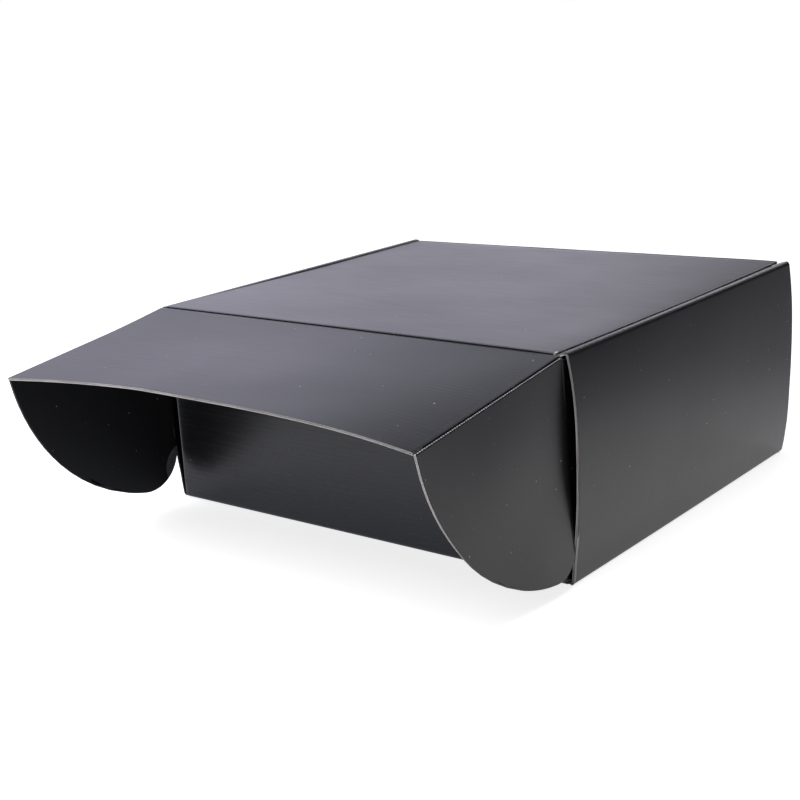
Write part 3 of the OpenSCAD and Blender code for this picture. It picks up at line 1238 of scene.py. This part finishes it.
turnOver = 4.0  # length of board that bends at a hinge
rearCrease = Vector((0, 126.25, lid["middle"]))
frontCrease = Vector((0, flap["creaseY"], flap["creaseZ"]))
forwards = Vector((0, -1, 0))
down = onRaisedFlap(Vector((0, 0, -1)), False)


def putOn(made, body, joined=None, crease=None, ahead=None):
    # the piece with its flutes on its body, its first few mm bending where it joins another
    piece, runs = made
    addFlutes(piece, runs)
    if joined:
        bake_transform(piece, joined, body, crease * mm, (crease + ahead * turnOver) * mm)
    else:
        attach(piece, body)
    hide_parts(body)


putOn(makeTray(), "tray")
putOn(makeLid(), "lid", "tray", rearCrease, forwards)
putOn(makeFlap(), "front_flap", "lid", frontCrease, forwards)
for ear, body in ((earLeft, "ear_left"), (earRight, "ear_right")):
    putOn(makeEar(ear), body, "front_flap", onRaisedFlap(Vector((ear["x"], 0, -0.5))), down)
print("boards made")

# floor with a painted glow seen in reflections, and soft studio light

studio = {
    "floor": (0.86, 0.86, 0.86, 1),
    "backdrop": 0.82,  # what the camera sees on top of the lit floor
    "sheen": 0.72,  # painted glow of a bright table round the box, which only shiny faces see
    "paintedGlowFrom": 0.15,
    "paintedGlowTo": 0.45,
    "frontSheen": 0.62,  # the painted glow in front, which the front wall sees, is bluer and wider
    "frontTo": 0.62,
    "frontGlowTint": (0.95, 0.98, 1.12, 1),
    "shade": Vector((-0.19, -0.15, 0.0)),  # and a painted shade in that glow under the left ear
    "shadeWide": 0.10,
    "shadeDepth": 0.6,
    "frontX": (0.10, 0.16),  # where the painted glow in front ends towards the right
}
# where a soft panel stands (turn and rise), how far it reaches from its middle, and its light
panels = {
    "backLow": (130, 6, 16, (1.13, 1.10, 1.30)),
    "backRight": (115, 6, 16, (0.79, 0.76, 0.86)),
    "backLeft": (145, 18, 16, (0.80, 0.78, 0.98)),
    "backHigh": (130, 30, 16, (0.55, 0.56, 0.65)),
    "left": (180, 38, 38, (2.30, 2.32, 2.60)),
    "right": (76, 28, 13, (1.00, 1.00, 1.03)),
    "rightHigh": (102, 30, 8, (7.60, 7.60, 7.80)),
}
softBoxes = {
    "front": {"place": (0.0, -0.5, 0.7), "side": 0.6, "watts": 4.3},
    "large": {"place": (0.8, -1.2, 2.4), "side": 2.5, "watts": 6.5},
}


def makeFloor():
    material, tree = newMaterial("paleFloorWithPaintedGlow")
    camera = rayKind(tree, "Camera")
    glossy = rayKind(tree, "Glossy")
    clear = rayKind(tree, "Transmission")
    place = addNode(tree, "ShaderNodeTexCoord", None, (), "Object")
    away = vectorMath(tree, "LENGTH", [place])
    across = addNode(tree, "ShaderNodeSeparateXYZ", None, [place], 0)
    near = vectorMath(tree, "DISTANCE", [place, studio["shade"]])
    inFront = 1 - across.ramp(*studio["frontX"])
    sidePaintedGlow = (1 - away.ramp(studio["paintedGlowFrom"], studio["paintedGlowTo"])) * studio["sheen"]
    frontPaintedGlow = (1 - away.ramp(studio["paintedGlowFrom"], studio["frontTo"])) * studio["frontSheen"]
    shade = near.ramp(0.0, studio["shadeWide"]) * studio["shadeDepth"] + (1 - studio["shadeDepth"])
    frontPaintedGlow = frontPaintedGlow * shade
    paintedGlow = sidePaintedGlow * (1 - inFront) + frontPaintedGlow * inFront
    # white backdrop for the camera, painted glow for reflections
    lift = camera * studio["backdrop"] + (glossy + clear) * paintedGlow
    # bluish tint of the painted glow in front
    colour = mixColour(tree, inFront * (1 - camera), (1, 1, 1, 1), studio["frontGlowTint"])
    matte = addNode(tree, "ShaderNodeBsdfDiffuse", None, {"Color": studio["floor"]})
    glow = addNode(tree, "ShaderNodeEmission", None, {"Color": colour, "Strength": lift})
    both = addNode(tree, "ShaderNodeAddShader", None, [matte, glow])
    addNode(tree, "ShaderNodeOutputMaterial", None, {"Surface": both})
    mesh = bpy.data.meshes.new("floor")
    far = 30.0
    corners = [(-far, -far, 0), (far, -far, 0), (far, far, 0), (-far, far, 0)]
    mesh.from_pydata(corners, [], [(0, 1, 2, 3)])
    mesh.materials.append(material)
    addObject("floor", mesh)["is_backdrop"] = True


def towardsPanel(turn, rise):
    turn, rise = math.radians(turn), math.radians(rise)
    return Vector((math.cos(rise) * math.cos(turn), math.cos(rise) * math.sin(turn), math.sin(rise)))


def makeWorld():
    world = bpy.data.worlds.new("softStudio")
    scene.world = world
    tree = clearTree(world)
    way = addNode(tree, "ShaderNodeTexCoord", None, (), "Generated")
    dark = (0.0, 0.0, 0.0, 1)
    light = None
    for turn, rise, wide, colour in panels.values():
        facing = vectorMath(tree, "DOT_PRODUCT", [way, towardsPanel(turn, rise)])
        soft = facing.ramp(math.cos(math.radians(wide)), math.cos(math.radians(2)))
        part = mixColour(tree, soft, dark, colour + (1,))
        if light:
            part = vectorMath(tree, "ADD", [light, part], "Vector")
        light = part
    camera = rayKind(tree, "Camera")
    light = mixColour(tree, camera, light, (1.0, 1.0, 1.0, 1))
    sky = addNode(tree, "ShaderNodeBackground", None, {"Color": light, "Strength": 1.0})
    addNode(tree, "ShaderNodeOutputWorld", None, {"Surface": sky})


def addSoftBoxes():
    for name, box in softBoxes.items():
        data = bpy.data.lights.new(name, "AREA")
        data.shape = "SQUARE"
        data.size = box["side"]
        data.energy = box["watts"]
        addObject(name, data).location = box["place"]


makeFloor()
makeWorld()
addSoftBoxes()
scene.view_settings.view_transform = "Standard"
print("floor and light set")

boxes = {"cad": cadBox, "visual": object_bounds()}
{name: [list(corner) for corner in box] for name, box in boxes.items()}
